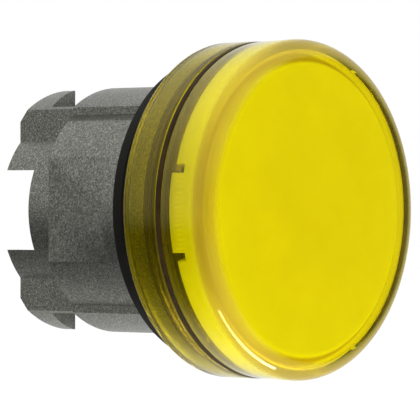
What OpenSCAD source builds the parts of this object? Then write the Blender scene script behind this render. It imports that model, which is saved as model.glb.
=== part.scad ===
// Pilot light head for a standard 22 mm panel hole: a die-cast barrel with bayonet claws,
// a panel gasket, and a clear lens in two sections over a coloured diffuser.
// It is drawn along +z, with z = 0 on the panel's front face, then laid down so that the
// lens faces -Y, the barrel runs along +Y and +Z is up.

/* [Lens] */
// Diameter of the lens at its front rim
lens_d = 29; // [28.8:0.1:29.6]
// Front end of the straight side of the lens, from the panel
rim_z = 9.79; // [9.75:0.02:10]
// Radius of the round edge of the lens face
edge_r = 1.75; // [1.5:0.05:1.9]
// How far the face domes out past its round edge
dome_rise = 0.25; // [0.1:0.05:0.6]
// Front face of the lens ring
ring_z = 5.86; // [5.8:0.01:5.9]
// Rear edge of the lens cap
cap_z = 6.49; // [6.45:0.01:6.55]
// Wall of the cap, outside the diffuser
cap_wall = 1.28; // [1.2:0.02:1.3]

/* [Diffuser] */
// Thickness of the diffuser's face
diffuser_face = 0.9; // [0.7:0.05:1.1]
// Half the angle of each snap tongue
tongue_angle = 14; // [13:0.5:15]
// How far round from level the snap tongues sit
tongue_turn = 1; // [-3:0.5:3]
// Depth of the slots beside the tongues
tongue_slot = 0.9; // [0.6:0.1:1.1]

/* [Cap movement] */
// Radial clearance of the cap on its neck and on the diffuser
cap_clearance = 0.07; // [0.05:0.01:0.09]

/* [Panel and gasket] */
// Thickness of the panel gasket
gasket_t = 2.44; // [2.4:0.02:2.5]
// Outer diameter of the panel gasket
gasket_d = 26.1; // [26:0.1:26.6]

/* [Barrel] */
// Diameter of the barrel's main body
main_d = 20.5; // [20.4:0.05:20.6]
// Diameter over the lands, which centre the barrel in the panel hole
land_d = 21.6; // [21.5:0.05:21.8]
// Half the width of the lands
land_half = 6.05; // [5.9:0.05:6.2]
// Diameter of the tube behind the main body
tube_d = 17; // [16.8:0.05:17.1]
// Bore that the light module enters
bore_d = 14.8; // [14.6:0.1:15]
// Rear end of the main body
step_z = -10.75; // [-10.95:0.05:-10.55]
// Rear end of the barrel
rear_z = -17.05; // [-17.25:0.05:-16.95]
// Distance from the axis to the side flats
flat_h = 9.2; // [9.1:0.05:9.3]
// Front end of the side flats
flat_z = -3.65; // [-3.95:0.05:-3.35]

/* [Bayonet] */
// Height of the bayonet slot's floor above the axis
slot_floor = 9.05; // [9:0.01:9.1]
// Diameter over the claws
claw_d = 21.4; // [21.3:0.05:21.5]
// Lead-in chamfer at the rear of the claws
claw_chamfer = 0.85; // [0.6:0.05:1]
// Half the width of the rear notches
notch_half = 3.5; // [3.3:0.1:3.7]
// Floor of the rear notches
notch_z = -13.8; // [-13.95:0.05:-13.65]

/* [Hidden] */
$fn = 96;
eps = 0.01;

lens_r = lens_d / 2;
main_r = main_d / 2;
land_r = land_d / 2;
tube_r = tube_d / 2;
bore_r = bore_d / 2;

// The lens ring and its neck
ring_r = lens_r - 0.08;
neck_r = lens_r - cap_wall - cap_clearance;
neck_in_r = neck_r - 0.95;
neck_z = cap_z + 0.71;
web_z = [4.45, 5.03];
ring_rear_chamfer = 0.25;
groove_chamfer = 0.12;

// The barrel's front flange and spigot, hidden inside the lens ring
flange_r = 13;
flange_z = 3.95;
spigot_r = 11.4;
spigot_z = 6;
clip_groove_r = 10.9;
clip_groove_z = [5.03, 5.55];
clip_r = 11.7;

// The hollow barrel in front of the bore
chamber_r = 8.1;
chamber_z = -9.55;
sleeve_seat_r = 10.1;
sleeve_seat_z = 0.05;

// The cap's cavity and the diffuser inside it
cap_in_r = lens_r - cap_wall;
cap_ceiling = rim_z + 0.31;
diffuser_r = neck_r;
diffuser_in_r = neck_in_r;
diffuser_z = neck_z + 0.1;
diffuser_top = cap_ceiling - 0.13;
diffuser_edge = 1.1;
tongue_reach = 0.35;
slot_angle = 3.1;
leg_r = [11.5, 12.1];
leg_angle = 11;
leg_z = 6.05;
key_rib_z = 6.55;

// The claws: where each begins from the centre-line, and its ramped front face
near_claw_x = 1.2;
far_claw_x = 3;
ramp_outer_z = -13.45;
ramp_slope = 0.3;

// Lays the part down: +z becomes -Y and +y becomes +Z
module lay() {
    rotate([90, 0, 0]) children();
}

// A plain ring between two radii and two heights
module ring(r_in, r_out, z0, z1) {
    rotate_extrude()
        translate([r_in, z0])
            square([r_out - r_in, z1 - z0]);
}

// A disc of radius r between two heights
module disc(r, z0, z1) {
    translate([0, 0, z0]) cylinder(r = r, h = z1 - z0);
}

// A wedge about +x, from angle a0 to angle a1, which cuts sectors out of rings
module wedge(a0, a1, z0, z1) {
    reach = 20;
    translate([0, 0, z0])
        linear_extrude(z1 - z0)
            polygon([[0, 0], reach * [cos(a0), sin(a0)], reach * [cos(a1), sin(a1)]]);
}

// Everything on +x, and again on -x
module both_sides() {
    children();
    rotate([0, 0, 180]) children();
}

// A wedge whose angles count from the middle of a snap tongue
module tongue_wedge(a0, a1, z0, z1) {
    wedge(tongue_turn + a0, tongue_turn + a1, z0, z1);
}

// Everything above the axis, and mirrored below it
module above_and_below() {
    children();
    mirror([0, 1, 0]) children();
}

// A plan outline in x and z, raised from y0 to y1
module plan(points, y0, y1) {
    translate([0, y1, 0])
        rotate([90, 0, 0])
            linear_extrude(y1 - y0)
                polygon(points);
}

// Points on an arc in the profile plane
function arc(c, r, a0, a1, n) =
    [for (i = [0:n]) c + r * [cos(a0 + (a1 - a0) * i / n), sin(a0 + (a1 - a0) * i / n)]];

// The claws' outside, with its lead-in chamfer at the rear
module claw_round() {
    r = claw_d / 2;
    rotate_extrude()
        polygon([[0, rear_z], [r - claw_chamfer, rear_z], [r, rear_z + claw_chamfer],
                 [r, step_z], [0, step_z]]);
}

// One claw above the slot floor, on the side given by its sign
module claw(side, x_in) {
    ramp_inner_z = ramp_outer_z - ramp_slope * (land_half - x_in);
    intersection() {
        claw_round();
        plan([[side * x_in, rear_z], [side * land_half, rear_z],
              [side * land_half, ramp_outer_z], [side * x_in, ramp_inner_z]],
             slot_floor - 1, land_r);
    }
}

// The full-length lands, up to the bayonet slot
module lands() {
    intersection() {
        disc(land_r, step_z, gasket_t);
        translate([-land_half, -land_r, step_z])
            cube([2 * land_half, land_d, gasket_t - step_z]);
    }
}

// The block behind the lands, whose top and bottom are the slot floors
module slot_block() {
    intersection() {
        claw_round();
        translate([-land_half, -slot_floor, rear_z])
            cube([2 * land_half, 2 * slot_floor, step_z - rear_z]);
    }
}

// The barrel's hollow: module bore, chamber, and seat for the reflector sleeve
module barrel_hollow() {
    mouth = 0.3;
    disc(bore_r, rear_z - eps, chamber_z + eps);
    disc(chamber_r, chamber_z, sleeve_seat_z + eps);
    disc(sleeve_seat_r, sleeve_seat_z, spigot_z + eps);
    translate([0, 0, rear_z - eps])
        cylinder(r1 = bore_r + mouth, r2 = bore_r, h = mouth);
}

// Die-cast barrel with its flange, lands, flats, rear notches and claws
module barrel() {
    color([0.52, 0.53, 0.5])
    lay() difference() {
        union() {
            disc(tube_r, rear_z, step_z);
            disc(main_r, step_z, gasket_t);
            lands();
            slot_block();
            above_and_below() {
                claw(-1, near_claw_x);
                claw(1, far_claw_x);
            }
            disc(land_r, 0, gasket_t);
            disc(flange_r, gasket_t, flange_z);
            disc(spigot_r, flange_z, spigot_z);
        }
        barrel_hollow();
        both_sides() {
            translate([flat_h, -main_r, step_z - eps])
                cube([main_r, main_d, flat_z - step_z]);
            translate([main_r / 2, -notch_half, rear_z - eps])
                cube([main_r, 2 * notch_half, notch_z - rear_z + eps]);
        }
        ring(clip_groove_r, flange_r, clip_groove_z[0], clip_groove_z[1]);
    }
}

// Black gasket between the panel and the lens
module panel_gasket() {
    r = gasket_d / 2;
    r_in = land_r + 0.05;
    lip = 0.12;
    color([0.06, 0.06, 0.05])
    lay() rotate_extrude()
        polygon([[r_in, 0], [r - lip, 0], [r, lip], [r, gasket_t / 2],
                 [r - lip, gasket_t / 2 + lip], [r - lip, gasket_t], [r_in, gasket_t]]);
}

// White sleeve that spreads the module's light over the diffuser
module reflector_sleeve() {
    gap = 0.05;
    rear = -5.95;
    color([0.93, 0.93, 0.9])
    lay() rotate_extrude()
        polygon([[5.8, rear], [chamber_r - gap, rear], [chamber_r - gap, sleeve_seat_z],
                 [sleeve_seat_r - gap, sleeve_seat_z], [sleeve_seat_r - gap, spigot_z],
                 [9.2, spigot_z]]);
}

// Flat seal between the barrel's flange and the lens ring
module ring_seal() {
    color([0.08, 0.08, 0.08])
    lay() ring(spigot_r + 0.1, flange_r - 0.05, flange_z, web_z[0]);
}

// Ribs in the neck, one each side of each leg of the diffuser
module key_ribs() {
    rib = 3;
    for (s = [-1, 1])
        intersection() {
            ring(leg_r[0], neck_in_r + 0.1, key_rib_z, neck_z - 0.05);
            tongue_wedge(s * (leg_angle + 1), s * (leg_angle + 1 + rib), 0, neck_z);
        }
}

// Clear rear section of the lens, with the neck that the cap turns on
module lens_ring() {
    notch_floor = neck_z - tongue_reach - 0.05;
    pocket_r = flange_r + 0.08;
    c = ring_rear_chamfer;
    g = groove_chamfer;
    color([0.55, 0.5, 0.05, 0.6])
    lay() difference() {
        union() {
            rotate_extrude()
                polygon([[pocket_r, gasket_t], [ring_r - c, gasket_t], [ring_r, gasket_t + c],
                         [ring_r, ring_z - g], [ring_r - g, ring_z], [neck_r, ring_z],
                         [neck_r, neck_z], [neck_in_r, neck_z], [neck_in_r, web_z[1]],
                         [spigot_r + 0.05, web_z[1]], [spigot_r + 0.05, web_z[0]],
                         [pocket_r, web_z[0]]]);
            both_sides() key_ribs();
        }
        both_sides()
            intersection() {
                ring(neck_in_r - 1, neck_r + 1, notch_floor, neck_z + 1);
                tongue_wedge(-tongue_angle - 1, tongue_angle + 1, 0, neck_z + 1);
            }
    }
}

// Spring-steel clip that holds the lens ring on the barrel
module retaining_clip() {
    gap_angle = 12;
    color([0.7, 0.7, 0.72])
    lay() difference() {
        ring(clip_groove_r + 0.05, clip_r, clip_groove_z[0], clip_groove_z[1] - 0.02);
        rotate([0, 0, 90]) wedge(-gap_angle, gap_angle, 0, neck_z);
    }
}

// Seal in the groove between the ring and the cap
module cap_seal() {
    color([0.1, 0.09, 0.03])
    lay() ring(neck_r + 0.05, ring_r - 0.05, ring_z, cap_z - 0.13);
}

// Legs inside the diffuser, which slide between the neck's ribs
module diffuser_legs() {
    both_sides()
        intersection() {
            union() {
                ring(leg_r[0], leg_r[1], leg_z, diffuser_top - diffuser_face / 2);
                ring(leg_r[0], diffuser_in_r + 0.1, diffuser_z + 0.05,
                     diffuser_top - diffuser_face / 2);
            }
            tongue_wedge(-leg_angle, leg_angle, 0, diffuser_top);
        }
}

// Coloured cup that glows: a face, a skirt, and a snap tongue on each side
module diffuser() {
    reach_z = diffuser_z - tongue_reach;
    color([0.92, 0.82, 0.02])
    lay() {
        difference() {
            union() {
                rotate_extrude()
                    polygon(concat(
                        [[diffuser_in_r, diffuser_z], [diffuser_r, diffuser_z]],
                        arc([diffuser_r - diffuser_edge, diffuser_top - diffuser_edge],
                            diffuser_edge, 0, 90, 8),
                        [[0, diffuser_top], [0, diffuser_top - diffuser_face],
                         [diffuser_in_r, diffuser_top - diffuser_face]]));
                both_sides()
                    intersection() {
                        ring(diffuser_in_r, diffuser_r, reach_z, diffuser_z + 1);
                        tongue_wedge(-tongue_angle, tongue_angle, 0, diffuser_top);
                    }
            }
            both_sides()
                for (s = [-1, 1])
                    intersection() {
                        ring(diffuser_in_r - 0.5, diffuser_r + 1,
                             reach_z - 1, diffuser_z + tongue_slot);
                        tongue_wedge(s * tongue_angle, s * (tongue_angle + slot_angle),
                                     0, diffuser_top);
                    }
        }
        diffuser_legs();
    }
}

// Clear front section of the lens, which turns and lifts off its neck
module lens_cap() {
    rear_r = lens_r - 0.1;
    g = groove_chamfer;
    face_r = lens_r - edge_r;
    dome_steps = 8;
    dome = [for (i = [1:dome_steps])
        let (t = 1 - i / dome_steps)
            [face_r * t, rim_z + edge_r + dome_rise * (1 - t * t)]];
    color([0.95, 0.85, 0.05, 0.5])
    lay() rotate_extrude()
        polygon(concat(
            [[cap_in_r, cap_z], [rear_r - g, cap_z], [rear_r, cap_z + g]],
            arc([face_r, rim_z], edge_r, 0, 90, 12),
            dome,
            [[0, cap_ceiling], [cap_in_r, cap_ceiling]]));
}

barrel();
panel_gasket();
reflector_sleeve();
ring_seal();
lens_ring();
retaining_clip();
cap_seal();
diffuser();
lens_cap();
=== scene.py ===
"""Pilot light head: the looks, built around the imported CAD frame."""

import math

import bmesh
import bpy
from mathutils import Euler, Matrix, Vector

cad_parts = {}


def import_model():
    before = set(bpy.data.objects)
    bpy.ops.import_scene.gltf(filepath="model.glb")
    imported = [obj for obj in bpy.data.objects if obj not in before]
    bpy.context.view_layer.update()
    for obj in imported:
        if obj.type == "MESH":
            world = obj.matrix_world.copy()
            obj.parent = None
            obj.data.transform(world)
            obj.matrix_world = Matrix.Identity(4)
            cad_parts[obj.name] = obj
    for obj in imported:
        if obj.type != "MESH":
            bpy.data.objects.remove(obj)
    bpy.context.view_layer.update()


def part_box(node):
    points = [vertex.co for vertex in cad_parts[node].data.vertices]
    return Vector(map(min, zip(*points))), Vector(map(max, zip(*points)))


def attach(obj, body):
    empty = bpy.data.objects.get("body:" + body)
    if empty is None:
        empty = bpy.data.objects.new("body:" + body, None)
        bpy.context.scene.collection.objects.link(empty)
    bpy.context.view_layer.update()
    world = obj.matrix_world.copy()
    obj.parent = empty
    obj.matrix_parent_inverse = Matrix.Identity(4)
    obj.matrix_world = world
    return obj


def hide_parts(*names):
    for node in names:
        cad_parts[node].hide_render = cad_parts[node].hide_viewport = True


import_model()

MM = 0.001
ROUND = 224            # segments round a turned piece
LEFT, RIGHT = 181, 1   # where the snap tongues are, in degrees round the axis
PAST, FAR = 1, 12      # how far a cutter runs past a face, and how far out it reaches

# ---------------------------------------------------------------- places from the frame
# Lengths here are millimetres. z runs along the axis, from the panel's face towards the
# lens; x is across and y is up, so that a point (x, y, z) is (x, -z, y) in the row frame.


def span(node):
    """The lowest and highest z of a CAD node."""
    low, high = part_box(node)
    return -high[1] / MM, -low[1] / MM


def radius(node):
    """Half the width of a CAD node."""
    low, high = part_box(node)
    return (high[0] - low[0]) / 2 / MM


REAR_Z = span("barrel")[0]
SPIGOT_Z = span("barrel")[1]
FLANGE_R = radius("barrel")
GASKET_Z = span("panel_gasket")[1]
GASKET_R = radius("panel_gasket")
RING_Z = span("cap_seal")[0]
RING_R = radius("lens_ring")
NECK_Z = span("lens_ring")[1]
CAP_Z, FACE_Z = span("lens_cap")
LENS_R = radius("lens_cap")
CUP_R = radius("diffuser")
LEG_Z, CUP_TOP = span("diffuser")
SLEEVE_Z = span("reflector_sleeve")
SLEEVE_R = radius("reflector_sleeve")
CLIP_Z = span("retaining_clip")
CLIP_R = radius("retaining_clip")
RING_SEAL_Z = span("ring_seal")
RING_SEAL_R = radius("ring_seal")
CAP_SEAL_Z = span("cap_seal")
CAP_SEAL_R = radius("cap_seal")

# Sizes inside the pieces, as in the CAD
MAIN_R, LAND_R, TUBE_R, BORE_R = 10.25, 10.8, 8.5, 7.4
LAND_HALF, STEP_Z = 6.05, -10.75
FLAT_H, FLAT_Z = 9.2, -3.65
SLOT_FLOOR, CLAW_R, CLAW_CHAMFER = 9.05, 10.7, 0.85
NEAR_CLAW_X, FAR_CLAW_X, RAMP_Z, RAMP_SLOPE = 1.2, 3.0, -13.45, 0.3
NOTCH_HALF, NOTCH_Z = 3.5, -13.8
CHAMBER_R, CHAMBER_Z = 8.1, -9.55
SEAT_R, SEAT_Z = 10.1, 0.05
FLANGE_Z, SPIGOT_R = 3.95, 11.4
CLIP_GROOVE_R, WEB_Z = 10.9, (4.45, 5.03)
NECK_R, NECK_IN_R = CUP_R, CUP_R - 0.95
CAP_IN_R, CAP_CEILING = LENS_R - 1.28, CUP_TOP + 0.13
RIM_Z, EDGE_R = 9.79, 1.75
CUP_Z, CUP_FACE, CUP_EDGE = NECK_Z + 0.1, 0.9, 1.1
TONGUE, TONGUE_REACH, SLOT_ANGLE, SLOT_DEPTH = 14.0, 0.35, 3.1, 0.9
LEG_R, LEG_ANGLE = (11.5, 12.1), 11.0
RIB_Z, RIB_ANGLE = 6.55, 3.0

# Small details that only the looks have
PARTING_DEPTH, PARTING_Y = 0.07, (-0.22, -0.12)   # the casting's parting line
THROAT_R, MOUTH_R = 5.8, 9.2                      # the reflector funnel's two ends
CLIP_GAP = 12                                     # half the clip's opening, in degrees


# ---------------------------------------------------------------- mesh tools
def row(x, y, z):
    """A point of the axis frame, in millimetres, as a point of the row frame, in metres."""
    return Vector((x * MM, -z * MM, y * MM))


def turned(r, angle, z):
    """A point at radius r and angle (degrees round the axis) and height z."""
    a = math.radians(angle)
    return row(r * math.cos(a), r * math.sin(a), z)


def rounded(points, fillet, steps=5):
    """A closed outline with each corner rounded by fillet, or by the corner's own third value."""
    out = []
    n = len(points)
    for i, p in enumerate(points):
        r = p[2] if len(p) > 2 else fillet
        here = Vector(p[:2])
        back = Vector(points[i - 1][:2]) - here
        ahead = Vector(points[(i + 1) % n][:2]) - here
        if r <= 0:
            out.append(tuple(here))
            continue
        u, v = back.normalized(), ahead.normalized()
        half = u.angle(v) / 2
        cut = r / math.tan(half)
        limit = 0.48 * min(back.length, ahead.length)
        if cut > limit:
            r *= limit / cut
            cut = limit
        centre = here + (u + v).normalized() * (r / math.sin(half))
        a, b = here + u * cut - centre, here + v * cut - centre
        sweep = a.angle_signed(b)
        for k in range(steps + 1):
            t = -sweep * k / steps
            c, s = math.cos(t), math.sin(t)
            out.append((centre.x + a.x * c - a.y * s, centre.y + a.x * s + a.y * c))
    return out


def arc(centre, r, a0, a1, steps):
    """Points on an arc, with angles in degrees."""
    pts = []
    for i in range(steps + 1):
        a = math.radians(a0 + (a1 - a0) * i / steps)
        pts.append((centre[0] + r * math.cos(a), centre[1] + r * math.sin(a)))
    return pts


def new_object(name, bm):
    """An object made from a bmesh, with its normals facing out."""
    bmesh.ops.recalc_face_normals(bm, faces=bm.faces)
    mesh = bpy.data.meshes.new(name)
    bm.to_mesh(mesh)
    bm.free()
    obj = bpy.data.objects.new(name, mesh)
    bpy.context.scene.collection.objects.link(obj)
    return obj


def smooth(obj, angle=32):
    """Smooth shading, with edges sharper than angle left sharp."""
    obj.data.shade_smooth()
    obj.data.set_sharp_from_angle(angle=math.radians(angle))
    return obj


def revolve(name, outline, a0=0.0, a1=360.0):
    """A closed outline of (radius, z) turned about the axis, all the way or as a sector."""
    whole = a1 - a0 >= 360
    count = ROUND if whole else max(2, round(ROUND * (a1 - a0) / 360)) + 1
    bm = bmesh.new()
    rings = []
    for i in range(count):
        angle = a0 + (a1 - a0) * i / (count if whole else count - 1)
        rings.append([bm.verts.new(turned(max(r, 0.0), angle, z)) for r, z in outline])
    n = len(outline)
    for i in range(count if whole else count - 1):
        here, there = rings[i], rings[(i + 1) % count]
        for k in range(n):
            j = (k + 1) % n
            if outline[k][0] <= 0 and outline[j][0] <= 0:
                continue
            bm.faces.new((here[k], here[j], there[j], there[k]))
    if not whole:
        bm.faces.new(rings[0])
        bm.faces.new(rings[-1][::-1])
    bmesh.ops.remove_doubles(bm, verts=bm.verts, dist=1e-7)
    bmesh.ops.dissolve_degenerate(bm, edges=bm.edges, dist=1e-8)
    return new_object(name, bm)


def prism(name, outline, low, high, along="z"):
    """An outline pushed out from low to high: in (x, y) along z, or in (x, z) along y."""
    def place(p, h):
        return row(p[0], p[1], h) if along == "z" else row(p[0], h, p[1])
    bm = bmesh.new()
    bottom = [bm.verts.new(place(p, low)) for p in outline]
    top = [bm.verts.new(place(p, high)) for p in outline]
    n = len(outline)
    bm.faces.new(bottom)
    bm.faces.new(top[::-1])
    for i in range(n):
        bm.faces.new((bottom[i], top[i], top[(i + 1) % n], bottom[(i + 1) % n]))
    return new_object(name, bm)


def block(name, x, y, z):
    """A box between pairs of x, y and z."""
    corners = [(x[0], y[0]), (x[1], y[0]), (x[1], y[1]), (x[0], y[1])]
    return prism(name, corners, z[0], z[1])


def combine(obj, others, how):
    """The boolean of obj with others, which are used up."""
    for other in others:
        mod = obj.modifiers.new("cut", "BOOLEAN")
        mod.operation = how
        mod.solver = "EXACT"
        mod.object = other
        settle(obj)
        bpy.data.objects.remove(other)
    return obj


def settle(obj):
    """Applies an object's modifiers to its mesh."""
    graph = bpy.context.evaluated_depsgraph_get()
    mesh = bpy.data.meshes.new_from_object(obj.evaluated_get(graph))
    obj.modifiers.clear()
    old, obj.data = obj.data, mesh
    bpy.data.meshes.remove(old)
    mesh.name = obj.name


def soften(obj, width, segments=2, angle=30):
    """Rounds an object's sharp edges."""
    mod = obj.modifiers.new("edges", "BEVEL")
    mod.width = width * MM
    mod.segments = segments
    mod.limit_method = "ANGLE"
    mod.angle_limit = math.radians(angle)
    mod.use_clamp_overlap = True
    mod.loop_slide = True
    settle(obj)
    return obj


# ---------------------------------------------------------------- materials
def material(name):
    """A new node material: its tree, its Principled node and its texture coordinates."""
    mat = bpy.data.materials.new(name)
    mat.use_nodes = True
    tree = mat.node_tree
    shader = next(n for n in tree.nodes if n.type == "BSDF_PRINCIPLED")
    coords = tree.nodes.new("ShaderNodeTexCoord")
    return mat, tree, shader, coords.outputs["Object"]


def noise(tree, coords, size, detail=4.0, roughness=0.6):
    """A noise whose features are about size millimetres across."""
    node = tree.nodes.new("ShaderNodeTexNoise")
    node.inputs["Scale"].default_value = 1 / (size * MM)
    node.inputs["Detail"].default_value = detail
    node.inputs["Roughness"].default_value = roughness
    tree.links.new(coords, node.inputs["Vector"])
    return node.outputs["Fac"]


def ramp(tree, value, stops):
    """A colour ramp over value, from (position, colour) stops."""
    node = tree.nodes.new("ShaderNodeValToRGB")
    elements = node.color_ramp.elements
    while len(elements) < len(stops):
        elements.new(0.5)
    for element, (position, colour) in zip(elements, stops):
        element.position = position
        element.color = (*colour, 1.0)
    tree.links.new(value, node.inputs["Fac"])
    return node.outputs["Color"]


def spread(tree, value, low, high, near=0.3, far=0.7):
    """value between near and far, spread from low to high."""
    node = tree.nodes.new("ShaderNodeMapRange")
    for name, number in (("From Min", near), ("From Max", far),
                         ("To Min", low), ("To Max", high)):
        node.inputs[name].default_value = number
    tree.links.new(value, node.inputs["Value"])
    return node.outputs["Result"]


def blend(tree, share, a, b):
    """Colour a where share is 0, and b where it is 1."""
    node = tree.nodes.new("ShaderNodeMix")
    node.data_type = "RGBA"
    tree.links.new(share, node.inputs["Factor"])
    tree.links.new(a, node.inputs["A"])
    tree.links.new(b, node.inputs["B"])
    return node.outputs["Result"]


def bump(tree, shader, height, depth, strength):
    """Bump of depth millimetres from a height between 0 and 1."""
    node = tree.nodes.new("ShaderNodeBump")
    node.inputs["Strength"].default_value = strength
    node.inputs["Distance"].default_value = depth * MM
    tree.links.new(height, node.inputs["Height"])
    tree.links.new(node.outputs["Normal"], shader.inputs["Normal"])


def maths(tree, operation, a, b):
    """A Math node over two values, each a socket or a number."""
    node = tree.nodes.new("ShaderNodeMath")
    node.operation = operation
    for socket, value in zip(node.inputs, (a, b)):
        if isinstance(value, (int, float)):
            socket.default_value = value
        else:
            tree.links.new(value, socket)
    return node.outputs[0]


def reach(tree, coords):
    """A point's distance from the axis, and its row y, both in metres."""
    across = tree.nodes.new("ShaderNodeVectorMath")
    across.operation = "MULTIPLY"
    across.inputs[1].default_value = (1, 0, 1)
    tree.links.new(coords, across.inputs[0])
    length = tree.nodes.new("ShaderNodeVectorMath")
    length.operation = "LENGTH"
    tree.links.new(across.outputs["Vector"], length.inputs[0])
    parts = tree.nodes.new("ShaderNodeSeparateXYZ")
    tree.links.new(coords, parts.inputs[0])
    return length.outputs["Value"], parts.outputs["Y"]


def inside(tree, coords, r, z):
    """1 on the inner faces of a hollow piece, within r of the axis and behind z, and 0 elsewhere."""
    out, y = reach(tree, coords)
    near = maths(tree, "LESS_THAN", out, r * MM)
    behind = maths(tree, "GREATER_THAN", y, -z * MM)
    return maths(tree, "MULTIPLY", near, behind)


def zone(tree, coords, r, z):
    """A mask that rises from 0 to 1 over a pair of radii and a pair of heights."""
    out, y = reach(tree, coords)
    return maths(tree, "MULTIPLY", spread(tree, out, 0, 1, r[0] * MM, r[1] * MM),
                 spread(tree, y, 1, 0, -z[1] * MM, -z[0] * MM))


def cast_zinc():
    """Grey as-cast zinc: a fine bright and dark grain over slow patches."""
    mat, tree, shader, coords = material("cast_zinc")
    grain = noise(tree, coords, 0.16, 6.0, 0.75)
    patches = noise(tree, coords, 3.0, 3.0)
    colour = ramp(tree, grain, [(0.36, (0.07, 0.07, 0.058)), (0.50, (0.17, 0.172, 0.150)),
                                (0.60, (0.30, 0.30, 0.275)), (0.72, (0.60, 0.60, 0.57))])
    tint = ramp(tree, patches, [(0.3, (0.86, 0.87, 0.85)), (0.7, (1.0, 1.0, 1.0))])
    mix = tree.nodes.new("ShaderNodeMix")
    mix.data_type = "RGBA"
    mix.blend_type = "MULTIPLY"
    mix.inputs["Factor"].default_value = 1.0
    tree.links.new(colour, mix.inputs["A"])
    tree.links.new(tint, mix.inputs["B"])
    tree.links.new(mix.outputs["Result"], shader.inputs["Base Color"])
    shader.inputs["Metallic"].default_value = 0.9
    tree.links.new(spread(tree, grain, 0.46, 0.34), shader.inputs["Roughness"])
    bump(tree, shader, grain, 0.03, 0.6)
    return mat


def black_rubber(name, shade):
    """Matt black rubber with a faint bloom."""
    mat, tree, shader, coords = material(name)
    bloom = noise(tree, coords, 1.2, 5.0)
    colour = ramp(tree, bloom, [(0.35, shade), (0.75, tuple(2.2 * c for c in shade))])
    tree.links.new(colour, shader.inputs["Base Color"])
    tree.links.new(spread(tree, bloom, 0.5, 0.68), shader.inputs["Roughness"])
    shader.inputs["Specular IOR Level"].default_value = 0.12
    bump(tree, shader, noise(tree, coords, 0.12), 0.008, 0.5)
    return mat


def white_plastic():
    """White satin moulded plastic."""
    mat, tree, shader, coords = material("white_plastic")
    mottle = noise(tree, coords, 2.0)
    colour = ramp(tree, mottle, [(0.3, (0.80, 0.80, 0.77)), (0.7, (0.88, 0.88, 0.86))])
    tree.links.new(colour, shader.inputs["Base Color"])
    tree.links.new(spread(tree, mottle, 0.35, 0.5), shader.inputs["Roughness"])
    return mat


def spring_steel():
    """Bright drawn steel with fine scratches."""
    mat, tree, shader, coords = material("spring_steel")
    scratch = noise(tree, coords, 0.3, 8.0)
    colour = ramp(tree, scratch, [(0.3, (0.45, 0.45, 0.46)), (0.7, (0.66, 0.66, 0.68))])
    tree.links.new(colour, shader.inputs["Base Color"])
    shader.inputs["Metallic"].default_value = 1.0
    tree.links.new(spread(tree, scratch, 0.2, 0.38), shader.inputs["Roughness"])
    return mat


FROST = 0.15        # roughness added on the inner faces of the clear pieces
DYE_DENSITY = 1.5   # how fast the dye absorbs, per millimetre


def clear_yellow(name, body, pass_tint, dye_colour, inner, painted_shade_zone, painted_shade_colour, painted_shade_body):
    """Clear plastic, dyed yellow through its depth and slightly milky, frosted on its inside.

    Where the painted-shade zone is 1, its colour and its share of milky body are painted shade: a
    darker colour that stands in for the shade and guided light seen through the plastic there."""
    mat, tree, shader, coords = material(name)
    streak = noise(tree, coords, 4.0, 2.0)
    colour = ramp(tree, streak, [(0.3, (0.95, 0.90, 0.03)), (0.7, (0.98, 0.94, 0.04))])
    # painted shade: a darker copy of the colour, for where the plastic is shaded or light is guided
    # round it
    painted_shade_tone = ramp(tree, streak, [(0.3, tuple(0.9 * c for c in painted_shade_colour)), (0.7, painted_shade_colour)])
    mask = zone(tree, coords, *painted_shade_zone)
    tree.links.new(blend(tree, mask, colour, painted_shade_tone), shader.inputs["Base Color"])
    shader.inputs["Transmission Weight"].default_value = 1 - body
    # the painted-shade zone gets its own share of milky body, so that the painted colour shows
    if painted_shade_body != body:
        clearness = spread(tree, mask, 1 - body, 1 - painted_shade_body, 0, 1)
        tree.links.new(clearness, shader.inputs["Transmission Weight"])
    shader.inputs["IOR"].default_value = 1.49
    shader.inputs["Specular IOR Level"].default_value = 0.45
    shader.inputs["Specular Tint"].default_value = (1.0, 0.86, 0.35, 1.0)
    frost = maths(tree, "MULTIPLY", inside(tree, coords, *inner), FROST)
    rough = maths(tree, "ADD", spread(tree, streak, 0.03, 0.06), frost)
    tree.links.new(rough, shader.inputs["Roughness"])
    let_light_in(tree, shader, pass_tint)
    dye(tree, dye_colour)
    return mat


def let_light_in(tree, shader, tint):
    """Lets shadow and diffuse rays straight through, tinted, and shows the shader to the rest."""
    path = tree.nodes.new("ShaderNodeLightPath")
    either = maths(tree, "MAXIMUM", path.outputs["Is Shadow Ray"], path.outputs["Is Diffuse Ray"])
    straight = tree.nodes.new("ShaderNodeBsdfTransparent")
    straight.inputs["Color"].default_value = (*tint, 1.0)
    mix = tree.nodes.new("ShaderNodeMixShader")
    tree.links.new(either, mix.inputs[0])
    tree.links.new(shader.outputs["BSDF"], mix.inputs[1])
    tree.links.new(straight.outputs["BSDF"], mix.inputs[2])
    tree.links.new(mix.outputs["Shader"], material_output(tree).inputs["Surface"])


def dye(tree, colour):
    """Absorbs light through the depth of the plastic, all but the dye's colour."""
    node = tree.nodes.new("ShaderNodeVolumeAbsorption")
    node.inputs["Color"].default_value = (*colour, 1.0)
    node.inputs["Density"].default_value = DYE_DENSITY / MM
    tree.links.new(node.outputs["Volume"], material_output(tree).inputs["Volume"])


def material_output(tree):
    """The output node of a material."""
    return next(n for n in tree.nodes if n.type == "OUTPUT_MATERIAL")


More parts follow.
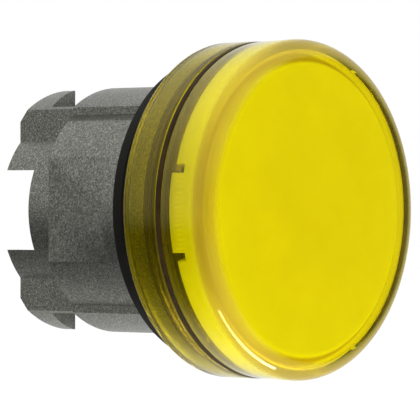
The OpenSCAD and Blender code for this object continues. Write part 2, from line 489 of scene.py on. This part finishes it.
def yellow_diffuser():
    """Bright yellow milky plastic that lets light bleed through, with painted shade round the face's
    edge.
    """
    mat, tree, shader, coords = material("diffuser_yellow")
    cloud = noise(tree, coords, 5.0, 2.0)
    colour = ramp(tree, cloud, [(0.3, (0.87, 0.86, 0.002)), (0.7, (0.91, 0.90, 0.003))])
    # painted shade: a gold-brown ring on the face's rounded edge, for the shade seen through the
    # cap's thick rim
    edge = zone(tree, coords, (CUP_R - 0.75, CUP_R - 0.50), (CUP_TOP - 0.85, CUP_TOP - 0.5))
    painted_shade_gold = ramp(tree, cloud, [(0.3, (0.42, 0.30, 0.0)), (0.7, (0.46, 0.33, 0.0))])
    tree.links.new(blend(tree, edge, colour, painted_shade_gold), shader.inputs["Base Color"])
    tree.links.new(spread(tree, cloud, 0.4, 0.5), shader.inputs["Roughness"])
    shader.inputs["Subsurface Weight"].default_value = 0.35
    shader.inputs["Subsurface Radius"].default_value = (1.0, 0.95, 0.05)
    shader.inputs["Subsurface Scale"].default_value = 0.6 * MM
    return mat


def finish_piece(obj, mat, body, node):
    """Gives a piece its material and body, and hides the CAD node that it stands in for."""
    obj.data.materials.clear()
    obj.data.materials.append(mat)
    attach(obj, body)
    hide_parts(node)


# ---------------------------------------------------------------- the barrel
def claw_plan(side, x_in):
    """The outline of one claw in (x, z), from behind the barrel to its ramped front."""
    ramp_in = RAMP_Z - RAMP_SLOPE * (LAND_HALF - x_in)
    return [(side * x_in, REAR_Z - PAST), (side * LAND_HALF, REAR_Z - PAST),
            (side * LAND_HALF, RAMP_Z), (side * x_in, ramp_in)]


def barrel():
    """The casting: turned body, lands, slot block and claws, less flats, notches and hollow."""
    body = revolve("barrel_casting", [
        (BORE_R, REAR_Z), (TUBE_R, REAR_Z), (TUBE_R, STEP_Z), (MAIN_R, STEP_Z),
        (MAIN_R, 0), (LAND_R, 0), (LAND_R, GASKET_Z), (FLANGE_R, GASKET_Z),
        (FLANGE_R, FLANGE_Z), (SPIGOT_R, FLANGE_Z), (SPIGOT_R, WEB_Z[1]),
        (CLIP_GROOVE_R, WEB_Z[1]), (CLIP_GROOVE_R, CLIP_Z[1] + 0.02),
        (SPIGOT_R, CLIP_Z[1] + 0.02), (SPIGOT_R, SPIGOT_Z), (SEAT_R, SPIGOT_Z),
        (SEAT_R, SEAT_Z), (CHAMBER_R, SEAT_Z), (CHAMBER_R, CHAMBER_Z), (BORE_R, CHAMBER_Z)])

    buried = 7.8   # inner radius of the blank for the lands, inside the wall
    outer = revolve("outer", [(buried, STEP_Z), (LAND_R, STEP_Z), (LAND_R, 0.2), (buried, 0.2)])
    lands = [block("land", (-LAND_HALF, LAND_HALF), (s * buried, s * FAR), (STEP_Z - PAST, PAST))
             for s in (1, -1)]
    lands = combine(lands[0], lands[1:], "UNION")
    combine(lands, [outer], "INTERSECT")

    root_r, root_z = BORE_R + 0.02, STEP_Z + 0.1   # where the slot block is sunk in the tube
    tail = revolve("tail", [(root_r, REAR_Z), (CLAW_R - CLAW_CHAMFER, REAR_Z),
                            (CLAW_R, REAR_Z + CLAW_CHAMFER), (CLAW_R, root_z),
                            (root_r, root_z)])
    shape = block("shape", (-LAND_HALF, LAND_HALF), (-SLOT_FLOOR, SLOT_FLOOR),
                  (REAR_Z - PAST, root_z))
    claws = []
    for s in (1, -1):
        for side, x_in in ((-1, NEAR_CLAW_X), (1, FAR_CLAW_X)):
            claws.append(prism("claw", claw_plan(side, x_in), s * (SLOT_FLOOR - 0.5), s * FAR,
                               along="y"))
    shape = combine(shape, claws, "UNION")
    combine(shape, [tail], "INTERSECT")

    combine(body, [lands, shape], "UNION")

    cuts = []
    for s in (1, -1):
        cuts.append(block("flat", (s * FLAT_H, s * FAR), (-MAIN_R, MAIN_R),
                          (STEP_Z - 0.01, FLAT_Z)))
        cuts.append(block("notch", (s * MAIN_R / 2, s * FAR), (-NOTCH_HALF, NOTCH_HALF),
                          (REAR_Z - PAST, NOTCH_Z)))
        cuts.append(block("parting", (s * (MAIN_R - PARTING_DEPTH), s * FAR), PARTING_Y,
                          (FLAT_Z, -0.01)))
        cuts.append(block("parting", (s * (FLAT_H - PARTING_DEPTH), s * FAR), PARTING_Y,
                          (STEP_Z - 0.01, FLAT_Z + 0.01)))
    combine(body, cuts, "DIFFERENCE")
    soften(body, 0.1, 2, 28)
    smooth(body, 40)
    finish_piece(body, cast_zinc(), "head", "barrel")


# ---------------------------------------------------------------- seals, sleeve and clip
def gasket():
    """The panel gasket: two rounded beads with a shallow groove between them."""
    inner = LAND_R + 0.05
    front_r = GASKET_R - 0.04
    groove_r, groove_z, groove_half = GASKET_R - 0.10, 1.1, 0.1
    outline = rounded([
        (inner, 0), (GASKET_R, 0, 0.16), (GASKET_R, groove_z - groove_half, 0.06),
        (groove_r, groove_z, 0.03), (front_r, groove_z + groove_half, 0.06),
        (front_r, GASKET_Z, 0.1), (inner, GASKET_Z)], 0.08)
    obj = smooth(revolve("gasket_ring", outline))
    finish_piece(obj, black_rubber("gasket_rubber", (0.0035, 0.0032, 0.0022)),
                 "head", "panel_gasket")


def seals():
    """The flat seals behind the ring and behind the cap."""
    rubber = black_rubber("seal_rubber", (0.022, 0.013, 0.004))
    gap = 0.02   # kept clear of the lens ring
    inner, low, high = SPIGOT_R + 0.1, RING_SEAL_Z[0], RING_SEAL_Z[1] - gap
    outline = rounded([(inner, low), (RING_SEAL_R, low), (RING_SEAL_R, high), (inner, high)], 0.15)
    obj = smooth(revolve("ring_seal_flat", outline))
    finish_piece(obj, rubber, "head", "ring_seal")
    inner, low, high = NECK_R + 0.05, CAP_SEAL_Z[0] + gap, CAP_SEAL_Z[1]
    outline = rounded([(inner, low), (CAP_SEAL_R, low), (CAP_SEAL_R, high), (inner, high)], 0.1)
    obj = smooth(revolve("cap_seal_ring", outline))
    finish_piece(obj, rubber, "head", "cap_seal")


def sleeve():
    """The white reflector sleeve inside the barrel."""
    low, high = SLEEVE_Z
    stem_r = CHAMBER_R - 0.05
    outline = rounded([(THROAT_R, low), (stem_r, low), (stem_r, SEAT_Z),
                       (SLEEVE_R, SEAT_Z), (SLEEVE_R, high), (MOUTH_R, high)], 0.12)
    obj = smooth(revolve("reflector_funnel", outline))
    finish_piece(obj, white_plastic(), "head", "reflector_sleeve")


def clip():
    """The spring clip, open at the top."""
    inner = CLIP_GROOVE_R + 0.05
    low, high = CLIP_Z
    outline = rounded([(inner, low), (CLIP_R, low), (CLIP_R, high), (inner, high)], 0.08)
    obj = smooth(revolve("spring_clip", outline, 90 + CLIP_GAP, 450 - CLIP_GAP))
    finish_piece(obj, spring_steel(), "head", "retaining_clip")


# ---------------------------------------------------------------- the lens
def sector(name, r0, r1, z0, z1, middle, half):
    """A solid sector of a ring, used to add or cut."""
    return revolve(name, [(r0, z0), (r1, z0), (r1, z1), (r0, z1)], middle - half, middle + half)


def lens_ring(mat):
    """The rear section of the lens: skirt, web and neck, with key ribs and tongue notches."""
    pocket, hole = FLANGE_R + 0.08, SPIGOT_R + 0.05
    groove = (RING_R - 0.1, GASKET_Z + 0.30)
    outline = rounded([
        (pocket, GASKET_Z), (RING_R - 0.02, GASKET_Z, 0.12), (RING_R, GASKET_Z + 0.22, 0.12),
        (*groove, 0.06), (RING_R, GASKET_Z + 0.42, 0.1), (RING_R, RING_Z, 0.14),
        (NECK_R, RING_Z, 0.05), (NECK_R, NECK_Z, 0.1), (NECK_IN_R, NECK_Z, 0.1),
        (NECK_IN_R, WEB_Z[1], 0.1), (hole, WEB_Z[1]), (hole, WEB_Z[0]),
        (pocket, WEB_Z[0], 0.1)], 0.05)
    obj = revolve("lens_ring_clear", outline)
    ribs, cuts = [], []
    for middle in (LEFT, RIGHT):
        for s in (-1, 1):
            ribs.append(sector("rib", LEG_R[0], NECK_IN_R + 0.1, RIB_Z, NECK_Z - 0.05,
                               middle + s * (LEG_ANGLE + 1 + RIB_ANGLE / 2), RIB_ANGLE / 2))
        cuts.append(sector("notch", NECK_IN_R - PAST, NECK_R + PAST,
                           NECK_Z - TONGUE_REACH - 0.05, NECK_Z + PAST, middle, TONGUE + 1))
    combine(obj, ribs, "UNION")
    combine(obj, cuts, "DIFFERENCE")
    smooth(obj, 40)
    finish_piece(obj, mat, "head", "lens_ring")


def lens_cap(mat):
    """The front section of the lens: a flared wall, a round edge and a shallow dome."""
    face_r = LENS_R - EDGE_R
    rise = FACE_Z - RIM_Z - EDGE_R
    flare, fillet = 0.1, 0.25   # the wall's flare outside, and its inner corner
    steps = 28
    dome = []
    for i in range(1, steps + 1):
        t = 1 - i / steps
        dome.append((face_r * t, RIM_Z + EDGE_R + rise * (1 - t * t)))
    rear = rounded([(CAP_IN_R + 0.4, CAP_Z), (LENS_R - flare, CAP_Z, 0.14),
                    (LENS_R, RIM_Z)], 0)[1:-1]
    ceiling = arc((CAP_IN_R - fillet, CAP_CEILING - fillet), fillet, 90, 0, 6)
    outline = ([(CAP_IN_R, CAP_Z)] + rear + arc((face_r, RIM_Z), EDGE_R, 0, 88, 20)
               + dome + [(0, CAP_CEILING)] + ceiling)
    obj = smooth(revolve("lens_cap_clear", outline), 40)
    finish_piece(obj, mat, "cap", "lens_cap")


def diffuser():
    """The cup inside the cap: face, skirt, two tongues between slots, and their legs."""
    top = CUP_TOP - CUP_FACE
    sunk = top + CUP_FACE / 2   # where the legs end, inside the face
    outline = ([(NECK_IN_R, CUP_Z), (CUP_R, CUP_Z)]
               + arc((CUP_R - CUP_EDGE, CUP_TOP - CUP_EDGE), CUP_EDGE, 0, 90, 14)
               + [(0, CUP_TOP), (0, top), (NECK_IN_R, top)])
    obj = revolve("diffuser_cup", outline)
    adds, cuts = [], []
    for middle in (LEFT, RIGHT):
        adds.append(sector("tongue", NECK_IN_R, CUP_R, CUP_Z - TONGUE_REACH, CUP_Z + 0.5,
                           middle, TONGUE))
        adds.append(sector("leg", LEG_R[0], LEG_R[1], LEG_Z, sunk, middle, LEG_ANGLE))
        adds.append(sector("foot", LEG_R[0] + 0.1, NECK_IN_R + 0.1, CUP_Z + 0.05, sunk,
                           middle, LEG_ANGLE - 0.2))
        for s in (-1, 1):
            cuts.append(sector("slot", NECK_IN_R - 0.04, CUP_R + PAST, CUP_Z - PAST,
                               CUP_Z + SLOT_DEPTH, middle + s * (TONGUE + SLOT_ANGLE / 2),
                               SLOT_ANGLE / 2))
    combine(obj, adds, "UNION")
    combine(obj, cuts, "DIFFERENCE")
    soften(obj, 0.07, 2, 35)
    smooth(obj, 40)
    finish_piece(obj, yellow_diffuser(), "diffuser_cup", "diffuser")


# ---------------------------------------------------------------- studio
# The camera: its heading, its distance from the rim in metres, its lens in millimetres, and
# how far it is turned to the left of the rim
VIEW_ANGLE = math.radians(-51.4)
EYE_DISTANCE = 0.300
FOCAL = 302.9
AIM_LEFT = math.radians(1.464)

# Brightness of the tent by height, from straight down (-1) to straight up (1)
TENT_POWER = 1.6
LEFT_TENT = [(-1, 0.45), (-0.80, 0.25), (-0.66, 0.06), (-0.45, 0.02), (-0.20, 0.02),
             (-0.08, 0.34), (0.04, 0.54), (0.35, 0.60), (1, 0.90)]
RIGHT_TENT = [(-1, 0.95), (-0.30, 0.45), (-0.14, 0.05), (0.14, 0.05), (0.30, 0.45), (1, 0.95)]
BACK_TENT = [(-1, 0.5), (-0.2, 0.58), (0.2, 0.55), (1, 0.60)]

FLOOR_Z, FLOOR_HALF = -0.045, 3   # metres


def stage_material(name, colour, roughness):
    """A plain studio surface."""
    mat, tree, shader, coords = material(name)
    mottle = noise(tree, coords, 40.0)
    shades = [(0.3, tuple(0.985 * c for c in colour)), (0.7, colour)]
    tree.links.new(ramp(tree, mottle, shades), shader.inputs["Base Color"])
    shader.inputs["Roughness"].default_value = roughness
    shader.inputs["Specular IOR Level"].default_value = 0.1
    return mat


def sheet(name, half, z, mat):
    """A square stage surface at height z, in metres, reaching half from its middle."""
    bm = bmesh.new()
    bm.faces.new([bm.verts.new((sx * half, sy * half, z))
                  for sx, sy in ((-1, -1), (1, -1), (1, 1), (-1, 1))])
    obj = new_object(name, bm)
    obj.data.materials.append(mat)
    return obj


def aim(obj, target):
    """Turns a lamp or camera to look at a point."""
    obj.rotation_euler = (Vector(target) - obj.location).to_track_quat("-Z", "Y").to_euler()


def softbox(name, place, target, size, power):
    """A rectangular area lamp."""
    lamp = bpy.data.lights.new(name, "AREA")
    lamp.shape = "RECTANGLE"
    lamp.size, lamp.size_y = size
    lamp.energy = power
    obj = bpy.data.objects.new(name, lamp)
    obj.location = place
    bpy.context.scene.collection.objects.link(obj)
    aim(obj, target)
    return obj


def camera():
    """The camera at the photograph's angle, level with the axis."""
    rim = row(0, 0, RIM_Z)
    out = Vector((math.sin(VIEW_ANGLE), -math.cos(VIEW_ANGLE), 0))
    data = bpy.data.cameras.new("camera")
    data.lens = FOCAL
    data.sensor_width = 36
    data.clip_start = 0.01
    data.clip_end = 20
    obj = bpy.data.objects.new("camera", data)
    obj.location = rim + EYE_DISTANCE * out
    bpy.context.scene.collection.objects.link(obj)
    ahead = -out
    ahead.rotate(Euler((0, 0, AIM_LEFT)))
    aim(obj, obj.location + ahead)
    bpy.context.scene.camera = obj


def level(tree, value, steps):
    """A brightness over value, which runs from -1 to 1, from (value, brightness) steps."""
    stops = [((v + 1) / 2, (b, b, b)) for v, b in steps]
    return ramp(tree, spread(tree, value, 0, 1, -1, 1), stops)


def facing(tree, direction, towards):
    """How far a direction points towards another one."""
    node = tree.nodes.new("ShaderNodeVectorMath")
    node.operation = "DOT_PRODUCT"
    node.inputs[1].default_value = towards
    tree.links.new(direction, node.inputs[0])
    return node.outputs["Value"]


def world():
    """A soft white tent with a dark band on each side, seen as plain white by the camera.

    The band is below the level on the left, and at the level on the right."""
    scene = bpy.context.scene
    scene.world = bpy.data.worlds.new("studio")
    scene.world.use_nodes = True
    tree = scene.world.node_tree
    back = next(n for n in tree.nodes if n.type == "BACKGROUND")
    way = tree.nodes.new("ShaderNodeTexCoord").outputs["Generated"]
    height = facing(tree, way, (0, 0, 1))
    right = facing(tree, way, (math.cos(VIEW_ANGLE), math.sin(VIEW_ANGLE), 0))
    ahead = facing(tree, way, (-math.sin(VIEW_ANGLE), math.cos(VIEW_ANGLE), 0))
    left_side = level(tree, height, LEFT_TENT)
    right_side = level(tree, height, RIGHT_TENT)
    behind = level(tree, height, BACK_TENT)
    sides = blend(tree, spread(tree, right, 0, 1, -0.4, 0.3), left_side, right_side)
    tent = blend(tree, spread(tree, ahead, 0, 1, 0.30, 0.60), sides, behind)
    path = tree.nodes.new("ShaderNodeLightPath")
    plain = tree.nodes.new("ShaderNodeRGB")
    plain.outputs[0].default_value = (1 / TENT_POWER, 1 / TENT_POWER, 1 / TENT_POWER, 1)
    tree.links.new(blend(tree, path.outputs["Is Camera Ray"], tent, plain.outputs[0]),
                   back.inputs["Color"])
    back.inputs["Strength"].default_value = TENT_POWER


def studio():
    """Floor, lamps, tent and colour handling."""
    bpy.context.scene.view_settings.view_transform = "Standard"
    floor = sheet("floor", FLOOR_HALF, FLOOR_Z, stage_material("floor_white", (0.93,) * 3, 0.8))
    floor.visible_diffuse = False
    floor.visible_glossy = False
    floor.visible_transmission = False
    floor.visible_shadow = False
    front = softbox("front", (0.02, -0.42, 0.20), (0, 0, 0), (0.30, 0.30), 0.80)
    front.visible_glossy = False
    softbox("low", (0.0, -0.05, -0.38), (0, 0, 0), (0.40, 0.08), 1.6)
    world()


# ---------------------------------------------------------------- build
# On the ring, everything in front of RING_Z (the neck) is painted near black: painted shade for the
# unlit hollow behind the cap's wall.
RING_PLASTIC = {
    "body": 0.02, "pass_tint": (0.80, 0.76, 0.12), "dye_colour": (0.95, 0.92, 0.20),
    "inner": (FLANGE_R + 0.12, RING_Z), "painted_shade_zone": ((0, 1), (RING_Z, RING_Z + 0.02)),
    "painted_shade_colour": (0.15, 0.13, 0.006), "painted_shade_body": 0.02}
# On the cap, the rounded front rim is painted gold-brown and milky: painted shade and light for the
# light guided through the thick rim.
CAP_PLASTIC = {
    "body": 0.015, "pass_tint": (0.97, 0.96, 0.3), "dye_colour": (0.985, 0.968, 0.20),
    "inner": (CAP_IN_R + 0.05, CAP_CEILING + 0.05),
    "painted_shade_zone": ((12.8, 13.5), (RIM_Z - 0.2, RIM_Z + 0.5)),
    "painted_shade_colour": (0.68, 0.51, 0.03), "painted_shade_body": 0.45}

barrel()
gasket()
seals()
sleeve()
clip()
lens_ring(clear_yellow("lens_ring_plastic", **RING_PLASTIC))
lens_cap(clear_yellow("lens_cap_plastic", **CAP_PLASTIC))
diffuser()
camera()
studio()
